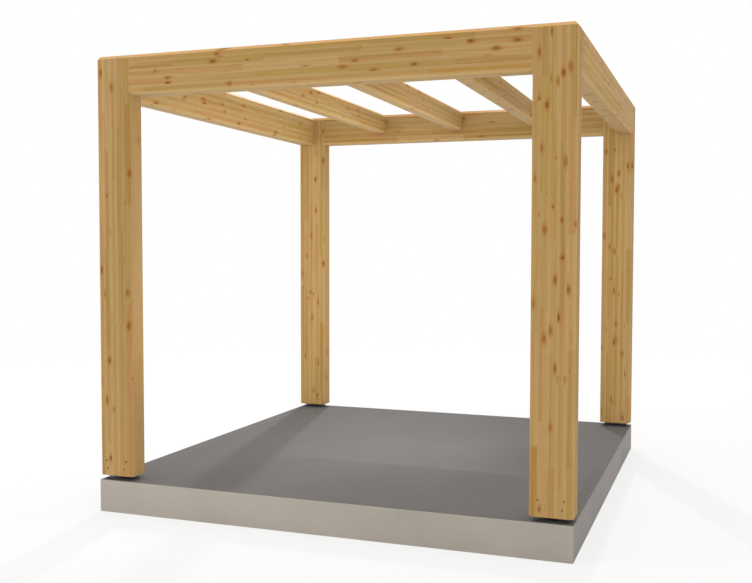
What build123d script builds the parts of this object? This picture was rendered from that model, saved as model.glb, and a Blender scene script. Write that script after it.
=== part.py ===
from build123d import *
import os

# A free-standing timber pergola on a square concrete base.
# The origin is the centre of the base's underside, +Z is up and the front faces -Y.

# Overall frame
WIDTH = 2940.0
DEPTH = 2940.0
HEIGHT = 2800.0

# Concrete base
SLAB_THICKNESS = 200.0

# Timber sections
POST_WIDTH = 240.0
POST_DEPTH = 140.0
BEAM_HEIGHT = 240.0
RAFTER_HEIGHT = 160.0
RAFTER_THICKNESS = 110.0
RAFTER_COUNT = 3
CHAMFER = 20.0

# Stub tenons that seat the beams in the posts and the rafters in the beams
BEAM_TENON_LENGTH = 45.0
BEAM_TENON_THICKNESS = 50.0
BEAM_TENON_HEIGHT = 170.0
RAFTER_TENON_LENGTH = 35.0
RAFTER_TENON_THICKNESS = 40.0
RAFTER_TENON_HEIGHT = 90.0
TENON_SIDE_CLEARANCE = 0.5
TENON_END_CLEARANCE = 2.0

# Steel foot under each post
FOOT_WIDTH = 170.0
FOOT_DEPTH = 90.0
GROUND_PLATE_THICKNESS = 10.0
BEARING_PLATE_THICKNESS = 8.0
POST_CLEARANCE_TO_SLAB = 30.0
HUB_RADIUS = 24.0
ANCHOR_RADIUS = 10.0
ANCHOR_DEPTH = 140.0
ANCHOR_CLEARANCE = 0.3
BLADE_THICKNESS = 8.0
BLADE_HEIGHT = 150.0
BLADE_CORNER_RADIUS = 12.0
SLOT_CLEARANCE = 1.0

# Dowels through each post and the blade of its foot
DOWEL_RADIUS = 6.0
DOWEL_RECESS = 6.0
DOWEL_CLEARANCE = 0.3
LOWER_DOWEL_SPACING = 122.0
UPPER_DOWEL_SPACING = 140.0
LOWER_DOWEL_HEIGHT = 45.0
UPPER_DOWEL_HEIGHT = 92.0

# The beams are as thick as the posts are deep, so their faces are flush inside and outside
BEAM_THICKNESS = POST_DEPTH

# Places worked out from the sizes above
SLAB_TOP = SLAB_THICKNESS
POST_BOTTOM = SLAB_TOP + POST_CLEARANCE_TO_SLAB
BEAM_BOTTOM = HEIGHT - BEAM_HEIGHT
RAFTER_BOTTOM = HEIGHT - RAFTER_HEIGHT
POST_X = WIDTH / 2 - POST_WIDTH / 2
POST_Y = DEPTH / 2 - POST_DEPTH / 2
SIDE_BEAM_X = WIDTH / 2 - BEAM_THICKNESS / 2
CROSS_BEAM_Y = DEPTH / 2 - BEAM_THICKNESS / 2
BEAM_INNER_Y = DEPTH / 2 - BEAM_THICKNESS
CORNERS = {
    "front_left": (-1, -1),
    "front_right": (1, -1),
    "back_left": (-1, 1),
    "back_right": (1, 1),
}


def block(center_x, center_y, bottom, size_x, size_y, size_z):
    """A box given by the middle of its underside and its three sizes."""
    return Pos(center_x, center_y, bottom) * Box(
        size_x, size_y, size_z, align=(Align.CENTER, Align.CENTER, Align.MIN)
    )


# Nominal boxes that the members fill

def post_box(sign_x, sign_y):
    """The space of one corner post, from its foot to the top of the frame."""
    return block(
        sign_x * POST_X, sign_y * POST_Y, POST_BOTTOM,
        POST_WIDTH, POST_DEPTH, HEIGHT - POST_BOTTOM,
    )


def cross_beam_box(sign_y):
    """The space of the front or back beam, between the inner sides of two posts."""
    return block(
        0, sign_y * CROSS_BEAM_Y, BEAM_BOTTOM,
        WIDTH - 2 * POST_WIDTH, BEAM_THICKNESS, BEAM_HEIGHT,
    )


def side_beam_box(sign_x):
    """The space of the left or right beam, between the inner sides of two posts."""
    return block(
        sign_x * SIDE_BEAM_X, 0, BEAM_BOTTOM,
        BEAM_THICKNESS, DEPTH - 2 * POST_DEPTH, BEAM_HEIGHT,
    )


def rafter_places():
    """The middle of each rafter, with equal gaps between the rafters and the side beams."""
    clear_width = WIDTH - 2 * BEAM_THICKNESS - RAFTER_COUNT * RAFTER_THICKNESS
    gap = clear_width / (RAFTER_COUNT + 1)
    first = -WIDTH / 2 + BEAM_THICKNESS + gap + RAFTER_THICKNESS / 2
    return [first + number * (gap + RAFTER_THICKNESS) for number in range(RAFTER_COUNT)]


def rafter_box(center_x):
    """The space of one rafter, between the inner faces of the front and back beams."""
    return block(
        center_x, 0, RAFTER_BOTTOM,
        RAFTER_THICKNESS, 2 * BEAM_INNER_Y, RAFTER_HEIGHT,
    )


# Chamfers on every free edge, mitred where members meet

def tapered_mouth(origin, inward, size_x, size_y, x_axis=(1, 0, 0)):
    """A rectangular opening's chamfer: wider by CHAMFER all round at the face, true at its depth."""
    face = Plane(origin=origin, x_dir=x_axis, z_dir=inward)
    return extrude(face * Rectangle(size_x + 2 * CHAMFER, size_y + 2 * CHAMFER), CHAMFER, taper=45)


def bay_mouths():
    """Mouths of the open bays between the posts, on the outer and inner faces of the frame."""
    middle = BEAM_BOTTOM / 2
    mouths = []
    for sign in (-1, 1):
        for place, inward in ((DEPTH / 2, -sign), (DEPTH / 2 - POST_DEPTH, sign)):
            mouths.append(tapered_mouth(
                (0, sign * place, middle), (0, inward, 0), WIDTH - 2 * POST_WIDTH, BEAM_BOTTOM
            ))
        mouths.append(tapered_mouth(
            (sign * WIDTH / 2, 0, middle), (-sign, 0, 0),
            DEPTH - 2 * POST_DEPTH, BEAM_BOTTOM, (0, 1, 0),
        ))
    return mouths


def roof_mouths():
    """Mouths of the gaps between the rafters, on the top face of the frame."""
    sides = [-WIDTH / 2 + BEAM_THICKNESS - RAFTER_THICKNESS / 2, *rafter_places()]
    sides.append(WIDTH / 2 - BEAM_THICKNESS + RAFTER_THICKNESS / 2)
    return [
        tapered_mouth(
            ((left + right) / 2, 0, HEIGHT), (0, 0, -1),
            right - left - RAFTER_THICKNESS, 2 * BEAM_INNER_Y,
        )
        for left, right in zip(sides, sides[1:])
    ]


def frame_envelope():
    """The outside of the whole frame with its outer edges chamfered."""
    outside = block(0, 0, POST_BOTTOM, WIDTH, DEPTH, HEIGHT - POST_BOTTOM)
    return chamfer(outside.edges(), CHAMFER)


def dressed(own_edges, shell):
    """A member with its own edges, the frame's outside and the mouths of openings chamfered."""
    envelope, mouths = shell
    return (chamfer(own_edges, CHAMFER) & envelope) - mouths


def lowest(member, axis):
    """The member's lowest edges that run along one axis."""
    return member.edges().filter_by(axis).group_by(Axis.Z)[0]


# Joinery

def beam_tenon(center_x, center_y, along_x, play=0.0):
    """A stub tenon across one beam end; play widens it into its mortise."""
    length = 2 * (BEAM_TENON_LENGTH + (TENON_END_CLEARANCE if play else 0.0))
    thickness = BEAM_TENON_THICKNESS + 2 * play
    size_x, size_y = (length, thickness) if along_x else (thickness, length)
    bottom = BEAM_BOTTOM + (BEAM_HEIGHT - BEAM_TENON_HEIGHT) / 2
    return block(center_x, center_y, bottom, size_x, size_y, BEAM_TENON_HEIGHT + play)


def rafter_tenon(center_x, center_y, play=0.0):
    """A stub tenon across one rafter end; play widens it into its mortise."""
    length = 2 * (RAFTER_TENON_LENGTH + (TENON_END_CLEARANCE if play else 0.0))
    thickness = RAFTER_TENON_THICKNESS + 2 * play
    bottom = RAFTER_BOTTOM + (RAFTER_HEIGHT - RAFTER_TENON_HEIGHT) / 2
    return block(center_x, center_y, bottom, thickness, length, RAFTER_TENON_HEIGHT + play)


def dowel_places():
    """The four dowels of a foot: distance from the post's middle line and height over its end."""
    pairs = ((LOWER_DOWEL_SPACING, LOWER_DOWEL_HEIGHT), (UPPER_DOWEL_SPACING, UPPER_DOWEL_HEIGHT))
    return [(side * spacing / 2, height) for spacing, height in pairs for side in (-1, 1)]


def dowel_rods(sign_x, sign_y, radius, length):
    """Round bars along Y at the four dowel places of one post."""
    return [
        Pos(sign_x * POST_X + offset, sign_y * POST_Y, POST_BOTTOM + height)
        * Rot(90, 0, 0)
        * Cylinder(radius, length)
        for offset, height in dowel_places()
    ]


# Pieces

def make_slab():
    """The cast base, with a socket for the anchor rod of each foot."""
    slab = block(0, 0, 0, WIDTH, DEPTH, SLAB_THICKNESS)
    for sign_x, sign_y in CORNERS.values():
        socket = Cylinder(
            ANCHOR_RADIUS + ANCHOR_CLEARANCE, ANCHOR_DEPTH,
            align=(Align.CENTER, Align.CENTER, Align.MAX),
        )
        slab -= Pos(sign_x * POST_X, sign_y * POST_Y, SLAB_TOP) * socket
    return slab


def make_foot(sign_x, sign_y):
    """A welded post base: ground plate with anchor rod, hub, bearing plate and upright blade."""
    hub_height = POST_CLEARANCE_TO_SLAB - GROUND_PLATE_THICKNESS - BEARING_PLATE_THICKNESS
    hub_bottom = SLAB_TOP + GROUND_PLATE_THICKNESS
    foot = block(0, 0, SLAB_TOP, FOOT_WIDTH, FOOT_DEPTH, GROUND_PLATE_THICKNESS)
    foot += Pos(0, 0, SLAB_TOP) * Cylinder(
        ANCHOR_RADIUS, ANCHOR_DEPTH, align=(Align.CENTER, Align.CENTER, Align.MAX)
    )
    foot += Pos(0, 0, hub_bottom) * Cylinder(
        HUB_RADIUS, hub_height, align=(Align.CENTER, Align.CENTER, Align.MIN)
    )
    foot += block(
        0, 0, POST_BOTTOM - BEARING_PLATE_THICKNESS, FOOT_WIDTH, FOOT_DEPTH, BEARING_PLATE_THICKNESS
    )
    blade = block(0, 0, POST_BOTTOM, FOOT_WIDTH, BLADE_THICKNESS, BLADE_HEIGHT)
    top_corners = blade.edges().filter_by(Axis.Y).group_by(Axis.Z)[-1]
    blade = fillet(top_corners, BLADE_CORNER_RADIUS)
    foot = Pos(sign_x * POST_X, sign_y * POST_Y, 0) * (foot + blade)
    return foot - dowel_rods(sign_x, sign_y, DOWEL_RADIUS + DOWEL_CLEARANCE, FOOT_DEPTH)


def make_post(shell, sign_x, sign_y):
    """A corner post with beam mortises, a slot for the foot's blade and dowel holes."""
    post = post_box(sign_x, sign_y)
    post = dressed(post.edges().group_by(Axis.Z)[0], shell)
    inner_x = sign_x * (WIDTH / 2 - POST_WIDTH)
    inner_y = sign_y * (DEPTH / 2 - POST_DEPTH)
    post -= beam_tenon(inner_x, sign_y * CROSS_BEAM_Y, True, TENON_SIDE_CLEARANCE)
    post -= beam_tenon(sign_x * SIDE_BEAM_X, inner_y, False, TENON_SIDE_CLEARANCE)
    post -= block(
        sign_x * POST_X, sign_y * POST_Y, POST_BOTTOM,
        FOOT_WIDTH + 2 * SLOT_CLEARANCE,
        BLADE_THICKNESS + 2 * SLOT_CLEARANCE,
        BLADE_HEIGHT + SLOT_CLEARANCE,
    )
    return post - dowel_rods(sign_x, sign_y, DOWEL_RADIUS + DOWEL_CLEARANCE, 2 * POST_DEPTH)


def make_cross_beam(shell, sign_y):
    """The front or back beam with its end tenons and the mortises of the rafters."""
    envelope, mouths = shell
    beam = (cross_beam_box(sign_y) & envelope) - mouths
    for sign_x in (-1, 1):
        beam += beam_tenon(sign_x * (WIDTH / 2 - POST_WIDTH), sign_y * CROSS_BEAM_Y, True)
    for place in rafter_places():
        beam -= rafter_tenon(place, sign_y * BEAM_INNER_Y, TENON_SIDE_CLEARANCE)
    return beam


def make_side_beam(shell, sign_x):
    """The left or right beam with its end tenons."""
    beam = side_beam_box(sign_x)
    inner_edge = lowest(beam, Axis.Y).sort_by(Axis.X)[0 if sign_x > 0 else -1]
    beam = dressed([inner_edge], shell)
    for sign_y in (-1, 1):
        beam += beam_tenon(sign_x * SIDE_BEAM_X, sign_y * (DEPTH / 2 - POST_DEPTH), False)
    return beam


def make_rafter(shell, place):
    """One rafter with its end tenons."""
    rafter = rafter_box(place)
    rafter = dressed(lowest(rafter, Axis.Y), shell)
    for sign_y in (-1, 1):
        rafter += rafter_tenon(place, sign_y * BEAM_INNER_Y)
    return rafter


def make_dowels(sign_x, sign_y):
    """The four steel dowels of one post, with their ends sunk below its faces."""
    length = POST_DEPTH - 2 * DOWEL_RECESS
    return Compound(children=dowel_rods(sign_x, sign_y, DOWEL_RADIUS, length))


def make_pieces():
    """Every piece of the pergola by name."""
    shell = (frame_envelope(), bay_mouths() + roof_mouths())
    pieces = {"base_slab": make_slab()}
    for corner, signs in CORNERS.items():
        pieces[f"post_{corner}"] = make_post(shell, *signs)
        pieces[f"foot_{corner}"] = make_foot(*signs)
        pieces[f"dowels_{corner}"] = make_dowels(*signs)
    for name, sign in (("front", -1), ("back", 1)):
        pieces[f"beam_{name}"] = make_cross_beam(shell, sign)
    for name, sign in (("left", -1), ("right", 1)):
        pieces[f"beam_{name}"] = make_side_beam(shell, sign)
    for number, place in enumerate(rafter_places(), start=1):
        pieces[f"rafter_{number}"] = make_rafter(shell, place)
    return pieces


os.makedirs("parts", exist_ok=True)
for name, piece in make_pieces().items():
    export_step(piece, os.path.join("parts", f"{name}.step"))
    print(f"{name}: {len(piece.solids())} solids, {piece.volume / 1e9:.5f} cubic metres")
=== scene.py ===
import logging
import math
from dataclasses import dataclass, field
from enum import Enum

import bmesh
import bpy
from mathutils import Matrix, Vector


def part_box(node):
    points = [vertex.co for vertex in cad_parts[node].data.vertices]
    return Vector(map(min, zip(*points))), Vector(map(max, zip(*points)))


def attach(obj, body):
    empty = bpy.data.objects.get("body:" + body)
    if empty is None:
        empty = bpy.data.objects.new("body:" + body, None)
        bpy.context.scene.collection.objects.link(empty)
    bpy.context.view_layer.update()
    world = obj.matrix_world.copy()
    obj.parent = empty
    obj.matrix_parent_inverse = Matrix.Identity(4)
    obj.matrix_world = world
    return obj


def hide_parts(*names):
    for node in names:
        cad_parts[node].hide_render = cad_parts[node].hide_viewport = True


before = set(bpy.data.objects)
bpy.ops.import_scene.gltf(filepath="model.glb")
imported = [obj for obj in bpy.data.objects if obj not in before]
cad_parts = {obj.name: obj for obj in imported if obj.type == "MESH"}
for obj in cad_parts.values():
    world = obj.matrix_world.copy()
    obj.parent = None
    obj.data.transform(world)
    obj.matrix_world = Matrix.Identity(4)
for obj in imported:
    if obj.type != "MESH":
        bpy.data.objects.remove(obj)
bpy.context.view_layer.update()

# A timber pergola on four steel feet over a cast concrete base, dressed on its solid model.
# Lengths are in metres, +Z is up and the front faces -Y.

ROOT = "root"
LOG = logging.getLogger("pergola")

# The picture that the camera frames, in pixels
PICTURE_WIDTH = 752.0
PICTURE_HEIGHT = 583.0

CORNERS = ("front_left", "front_right", "back_left", "back_right")


def linear(code: str) -> tuple[float, float, float, float]:
    """Turns an sRGB hex colour into linear light.

    Args:
        code: six hex digits after a number sign, such as #B28F5C.

    Returns:
        Red, green, blue and an alpha of 1.
    """
    channels = [int(code[start:start + 2], 16) / 255 for start in (1, 3, 5)]
    light = [c / 12.92 if c <= 0.04045 else ((c + 0.055) / 1.055) ** 2.4 for c in channels]
    return (light[0], light[1], light[2], 1.0)


def add_node(
    tree: bpy.types.NodeTree, kind: str, sockets: dict | None = None, **settings: object
) -> bpy.types.Node:
    """Adds one node with its settings and links.

    Args:
        tree: the node tree that gets the node.
        kind: Blender's name for the type of node.
        sockets: what each input gets, by its name or number: a value, an output
            socket, or a node whose first output is meant.
        settings: the node's own properties.

    Returns:
        The new node.
    """
    node = tree.nodes.new(kind)
    for name, value in settings.items():
        setattr(node, name, value)
    for key, value in (sockets or {}).items():
        if isinstance(value, bpy.types.Node):
            value = value.outputs[0]
        if isinstance(value, bpy.types.NodeSocket):
            tree.links.new(value, node.inputs[key])
        else:
            node.inputs[key].default_value = value
    return node


def reckon(tree: bpy.types.NodeTree, operation: str, *values: object) -> bpy.types.Node:
    """Adds one sum on numbers, such as MULTIPLY, with its inputs in order."""
    return add_node(tree, "ShaderNodeMath", dict(enumerate(values)), operation=operation)


def reckon_vector(tree: bpy.types.NodeTree, operation: str, *values: object) -> bpy.types.Node:
    """Adds one sum on vectors, with its inputs in order."""
    return add_node(tree, "ShaderNodeVectorMath", dict(enumerate(values)), operation=operation)


def grade(
    tree: bpy.types.NodeTree, value: object, start: float, stop: float,
    low: float = 0.0, high: float = 1.0, smooth: bool = False,
) -> bpy.types.Node:
    """Adds a grade that goes from low to high while a value goes from start to stop.

    Args:
        tree: the node tree that gets the node.
        value: the value that sets the place on the grade.
        start: the value that gives low.
        stop: the value that gives high.
        low: the first end of the grade.
        high: the other end of the grade.
        smooth: whether the grade eases in and out.

    Returns:
        The new node.
    """
    return add_node(
        tree, "ShaderNodeMapRange",
        {"Value": value, "From Min": start, "From Max": stop, "To Min": low, "To Max": high},
        interpolation_type="SMOOTHSTEP" if smooth else "LINEAR",
    )


def noise(
    tree: bpy.types.NodeTree, place: object, size: float, detail: float, roughness: float = 0.5
) -> bpy.types.Node:
    """Adds soft random patches.

    Args:
        tree: the node tree that gets the node.
        place: the coordinates that the patches lie in.
        size: how far across a patch is.
        detail: how many finer layers it has.
        roughness: how strong the finer layers are.

    Returns:
        The new node.
    """
    sockets = {"Vector": place, "Scale": 1 / size, "Detail": detail, "Roughness": roughness}
    return add_node(tree, "ShaderNodeTexNoise", sockets)


def lay_tones(
    tree: bpy.types.NodeTree, ground: object, layers: tuple[tuple[object, str], ...]
) -> bpy.types.NodeSocket:
    """Lays tones over a ground colour, each by its own share.

    Args:
        tree: the node tree that gets the mixes.
        ground: the colour underneath.
        layers: the share and the hex colour of each tone, the lowest first.

    Returns:
        The socket that gives the mixed colour.
    """
    mixed = ground
    for share, code in layers:
        sockets = {0: share, 6: mixed, 7: linear(code)}
        mixed = add_node(tree, "ShaderNodeMix", sockets, data_type="RGBA").outputs[2]
    return mixed


def new_material(name: str) -> tuple[bpy.types.Material, bpy.types.NodeTree, bpy.types.Node]:
    """Makes an empty node material with its output.

    Args:
        name: the material's name.

    Returns:
        The material, its node tree and its output node.
    """
    material = bpy.data.materials.new(name)
    material.use_nodes = True
    material.node_tree.nodes.clear()
    output = add_node(material.node_tree, "ShaderNodeOutputMaterial")
    return material, material.node_tree, output


def give_surface(tree: bpy.types.NodeTree, output: bpy.types.Node, sockets: dict) -> None:
    """Gives a material its surface.

    Args:
        tree: the material's node tree.
        output: the material's output node.
        sockets: what each input of the surface gets.
    """
    shader = add_node(tree, "ShaderNodeBsdfPrincipled", sockets)
    tree.links.new(shader.outputs[0], output.inputs["Surface"])


def deselect_all() -> None:
    """Leaves nothing selected."""
    bpy.ops.object.select_all(action="DESELECT")


def make_active(piece: bpy.types.Object) -> None:
    """Selects one object alone and makes it the active one."""
    deselect_all()
    piece.select_set(True)
    bpy.context.view_layer.objects.active = piece


def dress(piece: bpy.types.Object, material: bpy.types.Material) -> None:
    """Gives every face of a piece one material."""
    piece.data.materials.clear()
    piece.data.materials.append(material)


class Grain(Enum):
    """How a member's fibres run and how its lamellas are stacked, as axes of the frame.

    The three letters are the axis along the fibres, the axis across the lamellas
    and the axis over their width.
    """

    UPRIGHT = "ZXY"
    CROSSWISE = "XZY"
    LENGTHWISE = "YZX"


@dataclass(frozen=True)
class LaminatedSpruce:
    """Planed spruce glued from lamellas, with a clear satin oil.

    The oil gives honey-coloured wood with soft lengthwise stripes. Each lamella has
    its own tone, rings and knots, and the rings show as arcs on the end grain.
    """

    corner: Vector
    grain: Grain
    lamella: float
    seed: int

    GROUP = "laminated_spruce"
    # Boards in a lamella are finger-jointed every 0.6 m, with 7 mm teeth 8 mm long
    BOARD_LENGTH = 0.6
    TOOTH_HALF_PITCH = 0.0035
    TOOTH_SLOPE = 2.3
    # Each board takes its figure from a place of its own, up to 11 m along the pattern
    LOT_SHIFT = (11.0, 7.0, 5.0)
    # Growth rings are 2 to 4 mm apart in the real wood, and drawn at 5 mm so that they show.
    # The heart lies up to 100 mm aside of the board and 20 to 120 mm below its face
    RING_SPACING = 0.005
    RING_SWAY = 0.034
    RING_DEFLECTION = 0.012
    SWAY_PER_METRE = (1.1, 6.0, 6.0)
    HEART_ASIDE = 0.10
    HEART_NEAREST = 0.02
    HEART_FARTHEST = 0.12
    LATEWOOD_SHARPNESS = 2.6
    # Knots stand 260 mm apart along the grain and 56 mm across it. Half of them show, up to
    # 9 mm in radius and nearly twice as long, in a soft halo of stained wood
    KNOT_PITCH_ALONG = 0.26
    KNOT_PITCH_ACROSS = 0.056
    KNOT_SCATTER = 0.85
    KNOT_FIRST = 0.52
    KNOT_FULL = 0.8
    KNOT_RADIUS = 0.0088
    KNOT_HIDDEN = 0.0001
    KNOT_STRETCH = 1.9
    KNOT_BEND = 0.9
    KNOT_FAINTEST = 0.25
    KNOT_DARKEST = 0.8
    KNOT_RINGS = 14.0
    KNOT_RING_SHARE = 0.08
    HALO_STRETCH = 4.0
    HALO_WIDTH = 1.8
    TAIL_STRETCH = 10.0
    TAIL_WIDTH = 0.8
    TAIL_BACK = 0.7
    # Pale sapwood edges some of the lamellas, up to 15 mm wide
    SAPWOOD_WIDTH = 0.015
    # Soft stripes of tone are about 30 mm wide and 2 m long, and fibres 1 mm by 60 mm
    STRIPE_WIDTH = 0.030
    STRIPE_LENGTH = 2.0
    FIBRE_WIDTH = 0.0012
    FIBRE_LENGTH = 0.06
    # A glue line fades out 0.7 mm to either side
    GLUE_LINE = 0.0007
    TONES = ("#B19152", "#B88C59", "#B4945D", "#AC8C4C", "#BD9965", "#B28949")
    # How strongly each mark covers the board's own tone
    STRIPE_TONE, STRIPE_SHARE = "#A27A3E", 0.6
    PALE_TONE, PALE_SHARE = "#C4A774", 0.32
    SAPWOOD_SHARE = 0.5
    LATEWOOD_TONE, LATEWOOD_SHARE = "#9B6B30", 0.22
    HALO_TONE, HALO_SHARE = "#A5662A", 0.5
    TAIL_TONE, TAIL_SHARE = "#B06636", 0.25
    KNOT_TONE = "#7D4F18"
    RIM_TONE, RIM_SHARE = "#683C10", 0.2
    GLUE_TONE, GLUE_SHARE = "#8C6A3E", 0.4
    # Faces that look up are painted lighter, as a painted highlight, and undersides paler, as painted
    # light from below
    BLEACHED_TONE, BLEACHED_SHARE = "#F3C080", 0.9
    SHELTERED_TONE, SHELTERED_SHARE = "#DCC08A", 0.6
    END_TONE, END_SHARE = "#8F6B3E", 0.5
    # The oil leaves a faint sheen, far less than a varnish, and knots take a little more of it
    SHEEN = 0.08
    KNOT_POLISH = 0.12
    # Latewood stands a little proud of the planed face, and glue lines and knot rims lie lower
    LATEWOOD_RISE = 0.35
    GLUE_GROOVE = 1.2
    RIM_GROOVE = 0.6

    def material(self, name: str) -> bpy.types.Material:
        """Makes the finish of one member, with the pattern set to its place and grain.

        Args:
            name: the material's name.

        Returns:
            The material.
        """
        material, tree, output = new_material(name)
        place = add_node(tree, "ShaderNodeTexCoord").outputs["Object"]
        centred = add_node(tree, "ShaderNodeMapping", {"Vector": place, "Location": -self.corner})
        normal = add_node(tree, "ShaderNodeNewGeometry").outputs["Normal"]
        turned = []
        for vector in (centred.outputs[0], normal):
            parts = add_node(tree, "ShaderNodeSeparateXYZ", {0: vector})
            axes = {index: parts.outputs[letter] for index, letter in enumerate(self.grain.value)}
            turned.append(add_node(tree, "ShaderNodeCombineXYZ", axes))
        figure = add_node(tree, "ShaderNodeGroup", node_tree=self.figure())
        for key, value in (("Board", turned[0]), ("Facing", turned[1])):
            tree.links.new(value.outputs[0], figure.inputs[key])
        tree.links.new(parts.outputs[2], figure.inputs["Up"])
        figure.inputs["Lamella"].default_value = self.lamella
        figure.inputs["Seed"].default_value = float(self.seed)
        bump = add_node(
            tree, "ShaderNodeBump",
            {"Strength": 0.35, "Distance": 0.0012, "Height": figure.outputs["Height"]},
        )
        give_surface(tree, output, {
            "Base Color": figure.outputs["Color"], "Roughness": figure.outputs["Roughness"],
            "IOR": 1.45, "Specular IOR Level": self.SHEEN, "Normal": bump,
        })
        return material

    def figure(self) -> bpy.types.NodeTree:
        """Makes the wood's figure once, as a node group that every member shares.

        Returns:
            The group, which turns a place on a board into colour, roughness and height.
        """
        made = bpy.data.node_groups.get(self.GROUP)
        if made:
            return made
        tree = bpy.data.node_groups.new(self.GROUP, "ShaderNodeTree")
        for name, kind in (
            ("Board", "Vector"), ("Facing", "Vector"), ("Up", "Float"), ("Lamella", "Float"),
            ("Seed", "Float"),
        ):
            tree.interface.new_socket(name, in_out="INPUT", socket_type=f"NodeSocket{kind}")
        for name, kind in (("Color", "Color"), ("Roughness", "Float"), ("Height", "Float")):
            tree.interface.new_socket(name, in_out="OUTPUT", socket_type=f"NodeSocket{kind}")
        given = add_node(tree, "NodeGroupInput")
        board = self.lay_boards(tree, given)
        knots = self.grow_knots(tree, board)
        late = self.grow_rings(tree, board, knots)
        self.colour(tree, given, board, knots, late)
        return tree

    def lay_boards(self, tree: bpy.types.NodeTree, given: bpy.types.Node) -> dict:
        """Divides a member into lamellas and finger-jointed boards.

        Args:
            tree: the group's node tree.
            given: the group's input node.

        Returns:
            The place in a board's own wood and on its face, the distance across and over
            its lamella, the distance to the next glue line, the random numbers of the
            board and of its row, and the size of the face's normal along each axis.
        """
        lamella = given.outputs["Lamella"]
        seed = given.outputs["Seed"]
        axes = add_node(tree, "ShaderNodeSeparateXYZ", {0: given.outputs["Board"]})
        across = reckon(tree, "DIVIDE", axes.outputs[1], lamella)
        row = reckon(tree, "FLOOR", across)
        share = reckon(tree, "FRACT", across)
        middle = reckon(tree, "SUBTRACT", share, 0.5)
        local = reckon(tree, "MULTIPLY", middle, lamella)
        row_key = add_node(tree, "ShaderNodeCombineXYZ", {0: row, 1: seed})
        row_lot = add_node(tree, "ShaderNodeTexWhiteNoise", {"Vector": row_key}, noise_dimensions="3D")
        teeth = reckon(tree, "PINGPONG", axes.outputs[1], self.TOOTH_HALF_PITCH)
        along = reckon(tree, "MULTIPLY_ADD", teeth, self.TOOTH_SLOPE, axes.outputs[0])
        started = reckon(tree, "MULTIPLY_ADD", row_lot.outputs["Value"], self.BOARD_LENGTH, along)
        lengths = reckon(tree, "DIVIDE", started, self.BOARD_LENGTH)
        number = reckon(tree, "FLOOR", lengths)
        key = add_node(tree, "ShaderNodeCombineXYZ", {0: row, 1: number, 2: seed})
        lot = add_node(tree, "ShaderNodeTexWhiteNoise", {"Vector": key}, noise_dimensions="3D")
        shifted = reckon_vector(
            tree, "MULTIPLY_ADD", lot.outputs["Color"], self.LOT_SHIFT, given.outputs["Board"]
        )
        facing = reckon_vector(tree, "ABSOLUTE", given.outputs["Facing"])
        looks = add_node(tree, "ShaderNodeSeparateXYZ", {0: facing})
        on_wide = reckon(tree, "GREATER_THAN", looks.outputs[1], looks.outputs[2])
        here = add_node(tree, "ShaderNodeSeparateXYZ", {0: shifted})
        over_face = add_node(
            tree, "ShaderNodeMix", {0: on_wide, 2: here.outputs[1], 3: here.outputs[2]},
            data_type="FLOAT",
        )
        on_face = add_node(tree, "ShaderNodeCombineXYZ", {0: here.outputs[0], 1: over_face.outputs[0]})
        offset = reckon(tree, "ABSOLUTE", local)
        half = reckon(tree, "MULTIPLY", lamella, 0.5)
        to_glue = reckon(tree, "SUBTRACT", half, offset)
        return {
            "shifted": shifted, "on_face": on_face, "local": local, "depth": axes.outputs[2],
            "to_glue": to_glue, "lot": lot, "row": row_lot, "looks": looks,
        }

    def grow_knots(self, tree: bpy.types.NodeTree, board: dict) -> dict:
        """Sets knots in the wood, each an oval body with a halo and a red tail along the grain.

        Args:
            tree: the group's node tree.
            board: what lay_boards returned.

        Returns:
            How far a place is from a knot's middle, how dark that knot is, and how much of
            the place is in its body, on its rim, in its halo and in its tail.
        """
        cell = (self.KNOT_PITCH_ALONG, self.KNOT_PITCH_ACROSS, 1.0)
        scaled = reckon_vector(tree, "MULTIPLY", board["on_face"], [1 / size for size in cell])
        cells = add_node(
            tree, "ShaderNodeTexVoronoi",
            {"Vector": scaled, "Scale": 1.0, "Randomness": self.KNOT_SCATTER},
            voronoi_dimensions="2D", feature="F1",
        )
        away = reckon_vector(tree, "SUBTRACT", scaled, cells.outputs["Position"])
        metres = reckon_vector(tree, "MULTIPLY", away, cell)
        rough = noise(tree, board["on_face"], self.KNOT_RADIUS, 1.0)
        bend = [self.KNOT_RADIUS * self.KNOT_BEND] * 3
        bent = reckon_vector(tree, "MULTIPLY_ADD", rough.outputs["Color"], bend, metres)
        chance = add_node(tree, "ShaderNodeSeparateColor", {0: cells.outputs["Color"]})
        size = grade(
            tree, chance.outputs[0], self.KNOT_FIRST, self.KNOT_FULL,
            self.KNOT_HIDDEN, self.KNOT_RADIUS,
        )
        parts = add_node(tree, "ShaderNodeSeparateXYZ", {0: bent})
        ahead = reckon(tree, "DIVIDE", parts.outputs[0], self.TAIL_STRETCH)
        behind = reckon(tree, "MULTIPLY", parts.outputs[0], -self.TAIL_BACK)
        tail_along = reckon(tree, "MAXIMUM", ahead, behind)
        shapes = {
            "body": (parts.outputs[0], self.KNOT_STRETCH, 1.0),
            "halo": (parts.outputs[0], self.HALO_STRETCH, self.HALO_WIDTH),
            "tail": (tail_along, 1.0, self.TAIL_WIDTH),
        }
        reach = {}
        for name, (along, stretch, width) in shapes.items():
            oval = add_node(tree, "ShaderNodeCombineXYZ", {0: along, 1: parts.outputs[1]})
            shrunk = reckon_vector(tree, "MULTIPLY", oval, (1 / stretch, 1 / width, 0.0))
            length = reckon_vector(tree, "LENGTH", shrunk)
            reach[name] = reckon(tree, "DIVIDE", length.outputs["Value"], size)
        off_rim = reckon(tree, "SUBTRACT", reach["body"], 1.0)
        reach["rim"] = reckon(tree, "ABSOLUTE", off_rim)
        strength = grade(tree, chance.outputs[1], 0.0, 1.0, self.KNOT_FAINTEST, self.KNOT_DARKEST)
        shares = {"reach": reach["body"], "strength": strength}
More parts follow.
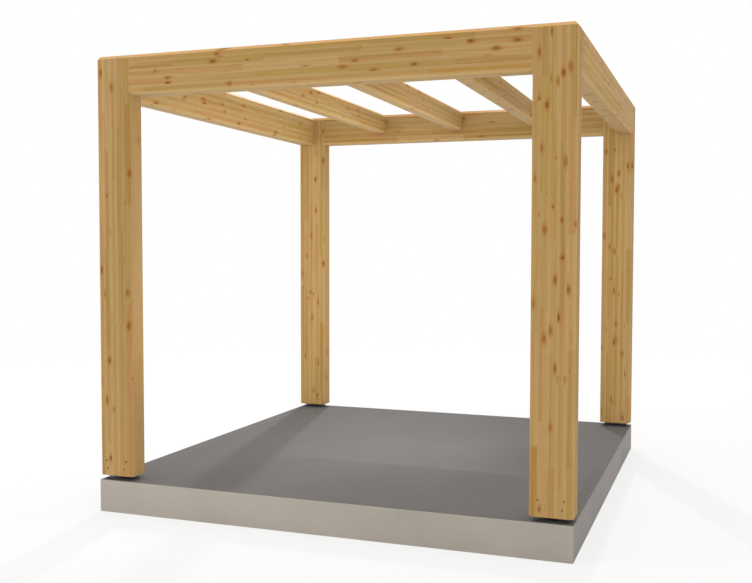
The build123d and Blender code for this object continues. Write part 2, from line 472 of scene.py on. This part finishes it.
        # Where each shape fades in and where it is full, in radii of the knot
        for name, start, stop in (
            ("body", 1.3, 0.6), ("halo", 1.5, 0.5), ("tail", 1.3, 0.2), ("rim", 0.35, 0.0),
        ):
            shares[name] = grade(tree, reach[name], start, stop, smooth=True)
        return shares

    def grow_rings(self, tree: bpy.types.NodeTree, board: dict, knots: dict) -> bpy.types.Node:
        """Lays growth rings round the heart that each board was sawn beside.

        Args:
            tree: the group's node tree.
            board: what lay_boards returned.
            knots: what grow_knots returned.

        Returns:
            How much of a place is the ring's dark latewood.
        """
        lot = add_node(tree, "ShaderNodeSeparateColor", {0: board["lot"].outputs["Color"]})
        heart_across = grade(tree, lot.outputs[1], 0.0, 1.0, -self.HEART_ASIDE, self.HEART_ASIDE)
        heart_over = grade(tree, lot.outputs[2], 0.0, 1.0, self.HEART_NEAREST, self.HEART_FARTHEST)
        from_heart = {
            0: reckon(tree, "SUBTRACT", board["local"], heart_across),
            1: reckon(tree, "SUBTRACT", board["depth"], heart_over),
        }
        section = add_node(tree, "ShaderNodeCombineXYZ", from_heart)
        radius = reckon_vector(tree, "LENGTH", section)
        slow = reckon_vector(tree, "MULTIPLY", board["shifted"], self.SWAY_PER_METRE)
        sway = noise(tree, slow, 1.0, 1.0)
        swayed = reckon(tree, "MULTIPLY_ADD", sway.outputs[0], self.RING_SWAY, radius.outputs["Value"])
        deflected = reckon(tree, "MULTIPLY_ADD", knots["halo"], self.RING_DEFLECTION, swayed)
        rings = reckon(tree, "DIVIDE", deflected, self.RING_SPACING)
        growth = reckon(tree, "FRACT", rings)
        return reckon(tree, "POWER", growth, self.LATEWOOD_SHARPNESS)

    def draw_streaks(self, tree: bpy.types.NodeTree, board: dict) -> list[bpy.types.NodeSocket]:
        """Draws random streaks along the grain.

        Args:
            tree: the group's node tree.
            board: what lay_boards returned.

        Returns:
            The broad stripes, the narrow stripes and the fibres.
        """
        streaks = []
        for width, length, detail in (
            (self.STRIPE_WIDTH, self.STRIPE_LENGTH, 2.0),
            (self.STRIPE_WIDTH / 3, self.STRIPE_LENGTH / 4, 2.0),
            (self.FIBRE_WIDTH, self.FIBRE_LENGTH, 3.0),
        ):
            per_metre = (1 / length, 1 / width, 1 / width)
            drawn = reckon_vector(tree, "MULTIPLY", board["shifted"], per_metre)
            streaks.append(noise(tree, drawn, 1.0, detail).outputs[0])
        return streaks

    def board_tone(self, tree: bpy.types.NodeTree, board: dict) -> bpy.types.NodeSocket:
        """Gives each board one of the tones, or a blend of two.

        Args:
            tree: the group's node tree.
            board: what lay_boards returned.

        Returns:
            The socket that gives the tone.
        """
        tone = add_node(tree, "ShaderNodeValToRGB", {0: board["lot"].outputs["Value"]})
        ramp = tone.color_ramp
        while len(ramp.elements) < len(self.TONES):
            ramp.elements.new(0.5)
        for index, code in enumerate(self.TONES):
            ramp.elements[index].position = index / (len(self.TONES) - 1)
            ramp.elements[index].color = linear(code)
        return tone.outputs[0]

    def colour(
        self, tree: bpy.types.NodeTree, given: bpy.types.Node, board: dict, knots: dict,
        late: bpy.types.Node,
    ) -> None:
        """Mixes the wood's colour, roughness and height and links them to the group's output.

        Args:
            tree: the group's node tree.
            given: the group's input node.
            board: what lay_boards returned.
            knots: what grow_knots returned.
            late: the share of latewood.
        """
        stripe, thin_stripe, fibre = self.draw_streaks(tree, board)
        dark = grade(tree, stripe, 0.46, 0.68, high=self.STRIPE_SHARE, smooth=True)
        pale = grade(tree, thin_stripe, 0.5, 0.72, high=self.PALE_SHARE, smooth=True)
        late_share = reckon(tree, "MULTIPLY", late, self.LATEWOOD_SHARE)
        sapwood = reckon(tree, "MULTIPLY", board["row"].outputs["Value"], self.SAPWOOD_WIDTH)
        sapwood_edge = reckon(tree, "SUBTRACT", sapwood, board["to_glue"])
        sapwood_share = grade(tree, sapwood_edge, -0.001, 0.003, high=self.SAPWOOD_SHARE)
        halo_share = reckon(tree, "MULTIPLY", knots["halo"], self.HALO_SHARE)
        tail_share = reckon(tree, "MULTIPLY", knots["tail"], self.TAIL_SHARE)
        rings_in_knot = reckon(tree, "MULTIPLY", knots["reach"], self.KNOT_RINGS)
        knot_wave = reckon(tree, "SINE", rings_in_knot)
        knot_share = reckon(tree, "MULTIPLY_ADD", knot_wave, self.KNOT_RING_SHARE, knots["strength"])
        knot_mix = reckon(tree, "MULTIPLY", knots["body"], knot_share)
        rim_mix = reckon(tree, "MULTIPLY", knots["rim"], self.RIM_SHARE)
        glue = grade(tree, board["to_glue"], self.GLUE_LINE, 0.0, high=self.GLUE_SHARE)
        up = given.outputs["Up"]
        # Faces that look up are painted lighter, as a painted highlight of the light from above
        bleached = grade(tree, up, 0.3, 0.65, high=self.BLEACHED_SHARE)
        # Faces that look down are painted paler, as painted light from below
        sheltered = grade(tree, up, -0.5, -1.0, high=self.SHELTERED_SHARE)
        end = grade(tree, board["looks"].outputs[0], 0.75, 0.95, high=self.END_SHARE)
        mixed = lay_tones(tree, self.board_tone(tree, board), (
            (dark, self.STRIPE_TONE), (pale, self.PALE_TONE), (sapwood_share, self.PALE_TONE),
            (bleached, self.BLEACHED_TONE), (sheltered, self.SHELTERED_TONE), (end, self.END_TONE),
            (late_share, self.LATEWOOD_TONE), (halo_share, self.HALO_TONE),
            (tail_share, self.TAIL_TONE), (knot_mix, self.KNOT_TONE), (rim_mix, self.RIM_TONE),
            (glue, self.GLUE_TONE),
        ))
        fibre_light = grade(tree, fibre, 0.25, 0.75, 0.93, 1.07)
        colour = add_node(
            tree, "ShaderNodeVectorMath", {0: mixed, "Scale": fibre_light}, operation="SCALE"
        )
        rough = grade(tree, fibre, 0.3, 0.7, 0.5, 0.64)
        polished = reckon(tree, "MULTIPLY_ADD", knots["body"], -self.KNOT_POLISH, rough)
        height = reckon(tree, "MULTIPLY_ADD", late, self.LATEWOOD_RISE, fibre)
        grooved = reckon(tree, "MULTIPLY_ADD", glue, -self.GLUE_GROOVE, height)
        rimmed = reckon(tree, "MULTIPLY_ADD", rim_mix, -self.RIM_GROOVE, grooved)
        add_node(tree, "NodeGroupOutput", {"Color": colour, "Roughness": polished, "Height": rimmed})


@dataclass(frozen=True)
class CastConcrete:
    """Plain concrete, cast in smooth forms and trowelled on top.

    The forms give pale, even faces with a few air holes at front and back, painted dark as shade.
    The left and right faces get a greyer painted shade, and the trowelled top a much darker one.
    """

    # The top's tone is painted shade, far darker than the formed faces
    TOP_TONE = "#706D6B"
    SIDE_TONE = "#B4ACA1"
    # The faces towards left and right take a greyer tone, as painted shade
    SEALED_TONE = "#96918D"
    CLOUD_TONE, CLOUD_SHARE = "#736F6A", 0.2
    SAND_TONE, SAND_SHARE = "#B9B2A8", 0.22
    # The air holes are painted dark, as painted shade in them
    HOLE_TONE = "#5E5A55"
    # Clouds of tone are about 0.6 m across and sand grains 3 mm, and air holes of up to 3 mm
    # in radius lie 45 mm apart, sunk 2.5 times as deep as the sand's relief of 2 mm
    CLOUD_SIZE = 0.6
    SAND_SIZE = 0.003
    HOLE_PITCH = 0.045
    HOLE_RADIUS = 0.0028
    HOLE_SINK = 2.5
    RELIEF = 0.002

    def material(self, name: str) -> bpy.types.Material:
        """Makes the finish of the base.

        Args:
            name: the material's name.

        Returns:
            The material.
        """
        material, tree, output = new_material(name)
        place = add_node(tree, "ShaderNodeTexCoord").outputs["Object"]
        clouds = noise(tree, place, self.CLOUD_SIZE, 6.0, 0.6)
        sand = noise(tree, place, self.SAND_SIZE, 2.0, 0.6)
        holes = add_node(
            tree, "ShaderNodeTexVoronoi", {"Vector": place, "Scale": 1 / self.HOLE_PITCH},
            voronoi_dimensions="3D",
        )
        normal = add_node(tree, "ShaderNodeNewGeometry").outputs["Normal"]
        looks = add_node(tree, "ShaderNodeSeparateXYZ", {0: normal})
        top_share = grade(tree, looks.outputs[2], 0.35, 0.9)
        sideways = reckon(tree, "ABSOLUTE", looks.outputs[0])
        # The faces towards left and right get painted shade
        sealed_share = grade(tree, sideways, 0.6, 0.8)
        cloud_share = grade(tree, clouds.outputs[0], 0.42, 0.7, high=self.CLOUD_SHARE)
        sand_share = grade(tree, sand.outputs[0], 0.52, 0.75, high=self.SAND_SHARE)
        hole_edge = self.HOLE_RADIUS / self.HOLE_PITCH
        # The air holes are painted dark, as painted shade in them
        hole = grade(tree, holes.outputs["Distance"], hole_edge, 0.02, smooth=True)
        sides_only = reckon(tree, "SUBTRACT", 1.0, top_share)
        hole_share = reckon(tree, "MULTIPLY", hole, sides_only)
        # The top's tone is painted shade
        mixed = lay_tones(tree, linear(self.SIDE_TONE), (
            (sealed_share, self.SEALED_TONE), (top_share, self.TOP_TONE),
            (cloud_share, self.CLOUD_TONE), (sand_share, self.SAND_TONE), (hole_share, self.HOLE_TONE),
        ))
        rough = grade(tree, clouds.outputs[0], 0.3, 0.7, 0.78, 0.92)
        height = reckon(tree, "MULTIPLY_ADD", hole_share, -self.HOLE_SINK, sand.outputs[0])
        bump = add_node(
            tree, "ShaderNodeBump", {"Strength": 0.3, "Distance": self.RELIEF, "Height": height}
        )
        give_surface(tree, output, {
            "Base Color": mixed, "Roughness": rough, "IOR": 1.45, "Specular IOR Level": 0.25,
            "Normal": bump,
        })
        return material


@dataclass(frozen=True)
class PowderCoatedSteel:
    """Steel with a black powder coat, which bakes to a matt skin like fine orange peel."""

    COAT_TONE = "#1B1B1C"
    DUST_TONE, DUST_SHARE = "#3A3835", 0.4
    # The peel's dimples are 1.5 mm apart, and dust lies in patches of 40 mm
    PEEL_PITCH = 0.0015
    DUST_SIZE = 0.04

    def material(self, name: str) -> bpy.types.Material:
        """Makes the finish of the feet.

        Args:
            name: the material's name.

        Returns:
            The material.
        """
        material, tree, output = new_material(name)
        place = add_node(tree, "ShaderNodeTexCoord").outputs["Object"]
        peel = noise(tree, place, self.PEEL_PITCH, 1.0)
        dust = noise(tree, place, self.DUST_SIZE, 4.0)
        dust_share = grade(tree, dust.outputs[0], 0.5, 0.8, high=self.DUST_SHARE)
        dusty = lay_tones(tree, linear(self.COAT_TONE), ((dust_share, self.DUST_TONE),))
        rough = grade(tree, dust.outputs[0], 0.3, 0.7, 0.42, 0.58)
        bump = add_node(
            tree, "ShaderNodeBump", {"Strength": 0.2, "Distance": 0.0005, "Height": peel.outputs[0]}
        )
        give_surface(tree, output, {
            "Base Color": dusty, "Roughness": rough, "IOR": 1.5, "Normal": bump,
        })
        return material


@dataclass(frozen=True)
class ZincPlatedSteel:
    """Turned steel pins with a yellow chromated zinc plating, dulled outdoors to uneven bronze."""

    ZINC_TONE = "#B79B6C"
    DULL_TONE = "#86704C"
    # The dull patches are 4 mm across
    PATCH_SIZE = 0.004

    def material(self, name: str) -> bpy.types.Material:
        """Makes the finish of the dowels.

        Args:
            name: the material's name.

        Returns:
            The material.
        """
        material, tree, output = new_material(name)
        place = add_node(tree, "ShaderNodeTexCoord").outputs["Object"]
        patches = noise(tree, place, self.PATCH_SIZE, 4.0)
        tone = lay_tones(tree, linear(self.ZINC_TONE), ((patches.outputs[0], self.DULL_TONE),))
        rough = grade(tree, patches.outputs[0], 0.3, 0.7, 0.38, 0.6)
        give_surface(tree, output, {"Base Color": tone, "Roughness": rough, "Metallic": 1.0})
        return material


@dataclass
class EasedPiece:
    """A copy of a node's form with its long arrises rounded, as planing or casting leaves them.

    Only edges longer than shortest_edge and nearer to the node's sides than deepest_edge
    are rounded, so that slots and round holes stay crisp.
    """

    node: str
    name: str
    slot: str
    radius: float
    segments: int = 2
    squared_end: float = 0.0
    shortest_edge: float = 0.03
    deepest_edge: float = 0.03
    sharpest_angle: float = math.radians(25)

    MERGE_DISTANCE = 0.00002
    FLAT_ANGLE = math.radians(0.5)

    def build(self) -> bpy.types.Object:
        """Makes the piece and puts it in the node's place.

        Returns:
            The piece, at the origin, riding on the object's one body.
        """
        piece = bpy.data.objects.new(self.name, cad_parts[self.node].data.copy())
        bpy.context.scene.collection.objects.link(piece)
        make_active(piece)
        bpy.ops.object.mode_set(mode="EDIT")
        bpy.ops.mesh.select_all(action="SELECT")
        bpy.ops.mesh.remove_doubles(threshold=self.MERGE_DISTANCE)
        if self.squared_end:
            self.square_lower_end(piece)
        bpy.ops.mesh.dissolve_limited(angle_limit=self.FLAT_ANGLE)
        bpy.ops.mesh.select_all(action="DESELECT")
        self.select_arrises(piece)
        bpy.ops.mesh.bevel(
            offset=self.radius, segments=self.segments, affect="EDGES", clamp_overlap=True
        )
        bpy.ops.object.mode_set(mode="OBJECT")
        bpy.ops.object.shade_smooth_by_angle(angle=self.sharpest_angle)
        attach(piece, ROOT)
        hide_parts(self.node)
        return piece

    def square_lower_end(self, piece: bpy.types.Object) -> None:
        """Presses a chamfered lower end flat, so that the outline runs straight down, in edit mode.

        Args:
            piece: the object in edit mode.
        """
        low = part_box(self.node)[0].z
        bpy.ops.mesh.select_all(action="DESELECT")
        mesh = bmesh.from_edit_mesh(piece.data)
        for vertex in mesh.verts:
            vertex.select_set(vertex.co.z < low + self.squared_end)
        bmesh.update_edit_mesh(piece.data)
        bpy.ops.transform.resize(value=(1, 1, 0), center_override=(0, 0, low))
        bpy.ops.mesh.select_all(action="SELECT")
        bpy.ops.mesh.dissolve_degenerate(threshold=self.MERGE_DISTANCE)

    def select_arrises(self, piece: bpy.types.Object) -> None:
        """Selects the long outer edges near the node's sides, in edit mode.

        Args:
            piece: the object in edit mode.
        """
        low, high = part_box(self.node)
        mesh = bmesh.from_edit_mesh(piece.data)
        mesh.select_mode = {"EDGE"}
        for edge in mesh.edges:
            middle = (edge.verts[0].co + edge.verts[1].co) / 2
            depth = min(min(middle[axis] - low[axis], high[axis] - middle[axis]) for axis in (0, 1))
            if edge.is_manifold and edge.is_convex and depth < self.deepest_edge:
                sharp = edge.calc_face_angle() > self.sharpest_angle
                edge.select_set(sharp and edge.calc_length() > self.shortest_edge)
        mesh.select_flush_mode()
        bmesh.update_edit_mesh(piece.data)


@dataclass
class TimberFrame:
    """The posts, beams and rafters, each with its own boards."""

    arris_radius: float = 0.0018
    # The posts' lower ends are sawn square: the solid's 20 mm chamfer there is pressed flat
    squared_end: float = 0.021
    post_lamella: float = 0.048
    beam_lamella: float = 0.048
    rafter_lamella: float = 0.040
    rafter_count: int = 3
    slot: str = "timber"

    def members(self) -> dict[str, tuple[Grain, float]]:
        """Lists every member.

        Returns:
            The grain and the lamella of each node.
        """
        found = {f"post_{corner}": (Grain.UPRIGHT, self.post_lamella) for corner in CORNERS}
        for side in ("front", "back"):
            found[f"beam_{side}"] = (Grain.CROSSWISE, self.beam_lamella)
        for side in ("left", "right"):
            found[f"beam_{side}"] = (Grain.LENGTHWISE, self.beam_lamella)
        for number in range(1, self.rafter_count + 1):
            found[f"rafter_{number}"] = (Grain.LENGTHWISE, self.rafter_lamella)
        return found

    def build(self) -> None:
        """Makes and dresses every member."""
        for seed, (node, (grain, lamella)) in enumerate(self.members().items(), start=1):
            squared_end = self.squared_end if grain is Grain.UPRIGHT else 0.0
            piece = EasedPiece(
                node, f"timber_{node}", self.slot, self.arris_radius, squared_end=squared_end
            ).build()
            finish = LaminatedSpruce(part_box(node)[0], grain, lamella, seed)
            dress(piece, finish.material(f"oiled_spruce_{node}"))
            LOG.info("%s: %s faces", piece.name, len(piece.data.polygons))


@dataclass
class SteelFeet:
    """The four welded feet with their dowels and weld seams."""

    arris_radius: float = 0.0008
    hub_radius: float = 0.024
    ground_plate: float = 0.010
    bearing_plate: float = 0.008
    clearance: float = 0.030
    seam_radius: float = 0.0028
    seam_ripples: int = 60
    # The dips between the ripples lie this share of the seam's radius lower
    ripple_depth: float = 0.25
    foot_slot: str = "black_steel"

    def build(self) -> None:
        """Makes and dresses every foot."""
        coat = PowderCoatedSteel().material("powder_coated_steel")
        zinc = ZincPlatedSteel().material("zinc_plated_steel")
        seam = self.weld_seam()
        for corner in CORNERS:
            foot = EasedPiece(
                f"foot_{corner}", f"welded_foot_{corner}", self.foot_slot, self.arris_radius
            ).build()
            dress(foot, coat)
            dress(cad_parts[f"dowels_{corner}"], zinc)
            for level, seam_place in self.seam_places(corner).items():
                copy = bpy.data.objects.new(f"weld_{level}_{corner}", seam.data.copy())
                bpy.context.scene.collection.objects.link(copy)
                copy.data.transform(Matrix.Translation(seam_place))
                dress(copy, coat)
                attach(copy, ROOT)
            LOG.info("%s: %s faces", foot.name, len(foot.data.polygons))
        bpy.data.objects.remove(seam)

    def seam_places(self, corner: str) -> dict[str, Vector]:
        """Works out where the hub meets its two plates.

        Args:
            corner: the foot's corner.

        Returns:
            The middle of the lower and the upper seam.
        """
        low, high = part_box(f"post_{corner}")
        slab_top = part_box("base_slab")[1].z
        middle = (low + high) / 2
        return {
            "lower": Vector((middle.x, middle.y, slab_top + self.ground_plate)),
            "upper": Vector((middle.x, middle.y, slab_top + self.clearance - self.bearing_plate)),
        }

    def weld_seam(self) -> bpy.types.Object:
        """Models one fillet weld round the hub, with the ripples of its passes.

        Returns:
            The seam, centred on the origin.
        """
        deselect_all()
        bpy.ops.mesh.primitive_torus_add(
            major_radius=self.hub_radius, minor_radius=self.seam_radius,
            major_segments=2 * self.seam_ripples, minor_segments=10,
        )
        seam = bpy.context.object
        make_active(seam)
        bpy.ops.object.mode_set(mode="EDIT")
        bpy.ops.mesh.select_all(action="DESELECT")
        mesh = bmesh.from_edit_mesh(seam.data)
        step = math.tau / (2 * self.seam_ripples)
        for vertex in mesh.verts:
            turn = round(math.atan2(vertex.co.y, vertex.co.x) / step)
            vertex.select_set(turn % 2 == 0)
        bmesh.update_edit_mesh(seam.data)
        bpy.ops.transform.shrink_fatten(value=-self.ripple_depth * self.seam_radius)
        bpy.ops.object.mode_set(mode="OBJECT")
        bpy.ops.object.shade_smooth()
        return seam


@dataclass
class ConcreteBase:
    """The cast base with its lightly rounded arrises."""

    arris_radius: float = 0.003
    slot: str = "concrete"

    def build(self) -> None:
        """Makes and dresses the base."""
        piece = EasedPiece(
            "base_slab", "concrete_base", self.slot, self.arris_radius, segments=3
        ).build()
        dress(piece, CastConcrete().material("cast_concrete"))
        LOG.info("%s: %s faces", piece.name, len(piece.data.polygons))


@dataclass
class Lamp:
    """One soft square lamp that looks at a point and lights a cone as wide as its spread."""

    name: str
    place: tuple[float, float, float]
    size: float
    power: float
    target: tuple[float, float, float] = (0.0, 0.0, 1.3)
    spread: float = math.pi

    def build(self) -> None:
        """Adds the lamp."""
        data = bpy.data.lights.new(self.name, "AREA")
        data.shape = "SQUARE"
        data.size = self.size
        data.energy = self.power
        data.spread = self.spread
        lamp = bpy.data.objects.new(self.name, data)
        lamp.visible_camera = False
        lamp.location = self.place
        direction = Vector(self.target) - Vector(self.place)
        lamp.rotation_euler = direction.to_track_quat("-Z", "Y").to_euler()
        bpy.context.scene.collection.objects.link(lamp)


@dataclass
class Studio:
    """The pale floor, the soft light and the camera."""

    floor_size: float = 120.0
    # The floor shows shadows near the object and fades to plain white with the distance
    fade_start: float = 3.0
    fade_end: float = 9.0
    white_near: float = 0.72
    ambient: float = 0.76
    lamps: list[Lamp] = field(default_factory=lambda: [
        Lamp("back_key", (-3.47, 10.76, 8.6), 0.4, 520.0),
        Lamp("front_fill", (-4.0, -14.0, 2.5), 6.0, 110.0),
        Lamp("right_fill", (13.5, -6.5, 1.5), 6.0, 400.0),
        Lamp("left_fill", (-13.5, -5.0, 2.0), 6.0, 600.0),
        Lamp("inner_fill", (1.2, 0.2, 1.4), 1.4, 18.0, (-1.4, 0.0, 1.2), math.radians(110)),
        Lamp("under_fill", (0.2, -0.6, 0.25), 1.6, 24.0, (0.2, 0.8, 3.0)),
    ])
    # The camera's place and turn, fitted to the edges of the photographed frame
    camera_place: tuple[float, float, float] = (2.2174, -6.1915, 1.6374)
    yaw: float = math.radians(18.69)
    pitch: float = math.radians(-2.51)
    roll: float = math.radians(0.19)
    focal_pixels: float = 918.5
    axis_pixel: tuple[float, float] = (419.3, 289.0)

    def build(self) -> None:
        """Sets the whole studio."""
        self.lay_floor()
        self.light_world()
        for lamp in self.lamps:
            lamp.build()
        self.place_camera()
        bpy.context.scene.view_settings.view_transform = "Standard"

    def seen_directly(self, tree: bpy.types.NodeTree) -> bpy.types.Node:
        """Adds a switch that is 1 for rays that show the background and 0 for rays that light.

        Args:
            tree: the node tree of the floor or the world.

        Returns:
            The switch.
        """
        path = add_node(tree, "ShaderNodeLightPath")
        sharp = reckon(tree, "MAXIMUM", path.outputs["Is Camera Ray"], path.outputs["Is Glossy Ray"])
        return reckon(tree, "MAXIMUM", sharp, path.outputs["Is Transmission Ray"])

    def lay_floor(self) -> None:
        """Lays a white floor that keeps the object's shadow and melts into the background."""
        deselect_all()
        bpy.ops.mesh.primitive_grid_add(x_subdivisions=8, y_subdivisions=8, size=self.floor_size)
        floor = bpy.context.object
        floor.name = "studio_floor"
        material, tree, output = new_material("studio_floor")
        plain = add_node(tree, "ShaderNodeBsdfDiffuse", {"Color": linear("#F7F7F7")})
        white = add_node(tree, "ShaderNodeEmission", {"Color": linear("#FFFFFF"), "Strength": 1.0})
        bare = add_node(tree, "ShaderNodeBsdfDiffuse", {"Color": linear("#FFFFFF")})
        place = add_node(tree, "ShaderNodeTexCoord").outputs["Object"]
        distance = reckon_vector(tree, "LENGTH", place)
        share = grade(
            tree, distance.outputs["Value"], self.fade_start, self.fade_end, self.white_near, 1.0,
            smooth=True,
        )
        shown = add_node(tree, "ShaderNodeMixShader", {0: share, 1: bare, 2: white})
        seen = self.seen_directly(tree)
        mixed = add_node(tree, "ShaderNodeMixShader", {0: seen, 1: plain, 2: shown})
        tree.links.new(mixed.outputs[0], output.inputs["Surface"])
        dress(floor, material)

    def light_world(self) -> None:
        """Shows a white background and lights with an even grey."""
        world = bpy.data.worlds.new("studio")
        bpy.context.scene.world = world
        world.use_nodes = True
        tree = world.node_tree
        tree.nodes.clear()
        light = add_node(
            tree, "ShaderNodeBackground", {"Color": linear("#FFFFFF"), "Strength": self.ambient}
        )
        shown = add_node(tree, "ShaderNodeBackground", {"Color": linear("#FFFFFF"), "Strength": 1.0})
        seen = self.seen_directly(tree)
        mixed = add_node(tree, "ShaderNodeMixShader", {0: seen, 1: light, 2: shown})
        add_node(tree, "ShaderNodeOutputWorld", {"Surface": mixed})

    def place_camera(self) -> None:
        """Puts the camera where the photograph was taken from."""
        data = bpy.data.cameras.new("camera")
        data.sensor_width = 36.0
        data.lens = self.focal_pixels / PICTURE_WIDTH * data.sensor_width
        data.shift_x = (PICTURE_WIDTH / 2 - self.axis_pixel[0]) / PICTURE_WIDTH
        data.shift_y = (self.axis_pixel[1] - PICTURE_HEIGHT / 2) / PICTURE_WIDTH
        data.clip_end = 200.0
        ahead = Vector((
            -math.sin(self.yaw) * math.cos(self.pitch),
            math.cos(self.yaw) * math.cos(self.pitch),
            math.sin(self.pitch),
        ))
        level = Vector((math.cos(self.yaw), math.sin(self.yaw), 0.0))
        upright = level.cross(ahead)
        right = level * math.cos(self.roll) + upright * math.sin(self.roll)
        above = upright * math.cos(self.roll) - level * math.sin(self.roll)
        turn = Matrix((right, above, -ahead)).transposed()
        camera = bpy.data.objects.new("camera", data)
        camera.matrix_world = Matrix.Translation(self.camera_place) @ turn.to_4x4()
        bpy.context.scene.collection.objects.link(camera)
        bpy.context.scene.camera = camera


def main() -> None:
    """Builds the pergola and its studio in order."""
    logging.basicConfig(level=logging.INFO, format="%(name)s: %(message)s")
    ConcreteBase().build()
    SteelFeet().build()
    TimberFrame().build()
    Studio().build()


if __name__ == "__main__":
    main()
